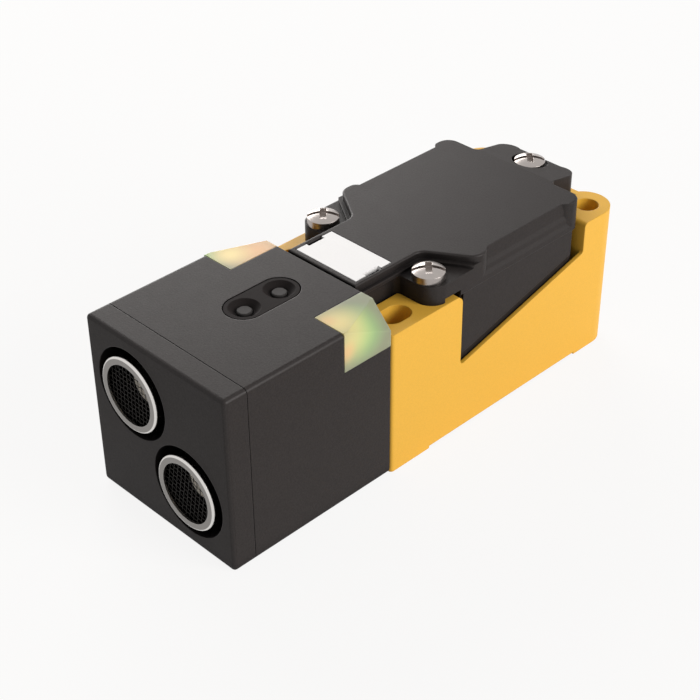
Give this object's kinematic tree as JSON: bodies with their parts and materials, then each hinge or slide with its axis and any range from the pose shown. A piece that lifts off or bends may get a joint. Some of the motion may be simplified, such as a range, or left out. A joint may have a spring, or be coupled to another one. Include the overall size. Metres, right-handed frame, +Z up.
{
  "type": "ultrasonic sensor",
  "caption": "Rectangular ultrasonic sensor: a cube head with a transmitter and a receiver eye and teach buttons, on a screw-down mounting frame with a lidded terminal housing.",
  "frame": {"origin": "centre of the bounding box in plan, at the height of the mounting pads", "axes": "-Y is the way the sensing face looks, +Y the cable entry, +Z up from the mounting pads. +X is to the right for someone who faces the sensing face"},
  "size_m": [0.04, 0.1146, 0.0407],
  "materials": {
    "black_plastic": "fine-grained moulded polyamide, satin sheen",
    "insert_plastic": "fine-grained moulded plastic",
    "yellow_plastic": "fine-grained moulded plastic, satin",
    "guide_plastic": "milky translucent, polished",
    "button_rubber": "matt",
    "can_metal": "satin with a polished rounded rim",
    "mesh_metal": "dark woven gauze",
    "screw_steel": "polished",
    "brass": "plain",
    "seal_rubber": "matt",
    "label_white": "plain white",
    "board_green": "solder resist",
    "piezo_ceramic": "unglazed",
    "cone_metal": "plain",
    "pin_steel": "tinned",
    "connector_plastic": "moulded",
    "terminal_plastic": "moulded grey",
    "lamp_plastic": "clear cast",
    "wire_jacket": "insulated wire"
  },
  "bodies": {
    "sensor": {"head_body": "black_plastic", "front_cap": "black_plastic", "light_guide_left": "guide_plastic", "light_guide_right": "guide_plastic", "button_insert": "insert_plastic", "button_switches": "connector_plastic", "status_lamps": "lamp_plastic", "button_board": "board_green", "main_board": "board_green", "board_header": "connector_plastic", "transducer_pins": "pin_steel", "coupling_plug": "connector_plastic", "coupling_wires": "wire_jacket", "coupling_socket": "connector_plastic", "head_gasket": "seal_rubber", "head_screws": "pin_steel", "head_inserts": "brass", "mounting_frame": "yellow_plastic", "terminal_housing": "black_plastic", "cover_seal": "seal_rubber", "terminal_board": "board_green", "terminal_block": "terminal_plastic", "terminal_clamps": "brass", "terminal_screws": "pin_steel", "terminal_cover": "black_plastic", "label_plate": "label_white", "cover_screws": "screw_steel", "cover_inserts": "brass", "transducer_can_upper": "can_metal", "transducer_mesh_upper": "mesh_metal", "resonator_cone_upper": "cone_metal", "piezo_disc_upper": "piezo_ceramic", "transducer_base_upper": "connector_plastic", "seat_ring_upper": "seal_rubber", "transducer_can_lower": "can_metal", "transducer_mesh_lower": "mesh_metal", "resonator_cone_lower": "cone_metal", "piezo_disc_lower": "piezo_ceramic", "transducer_base_lower": "connector_plastic", "seat_ring_lower": "seal_rubber"},
    "front_button": {"button_front": "button_rubber"},
    "rear_button": {"button_rear": "button_rubber"}
  },
  "joints": [
    {"name": "front_button_press", "type": "slide", "parent": "sensor", "child": "front_button", "axis": [0, 0, -1], "range_m": [0, 0.0004], "stiffness_N_per_m": 4000},
    {"name": "rear_button_press", "type": "slide", "parent": "sensor", "child": "rear_button", "axis": [0, 0, -1], "range_m": [0, 0.0004], "stiffness_N_per_m": 4000}
  ]
}
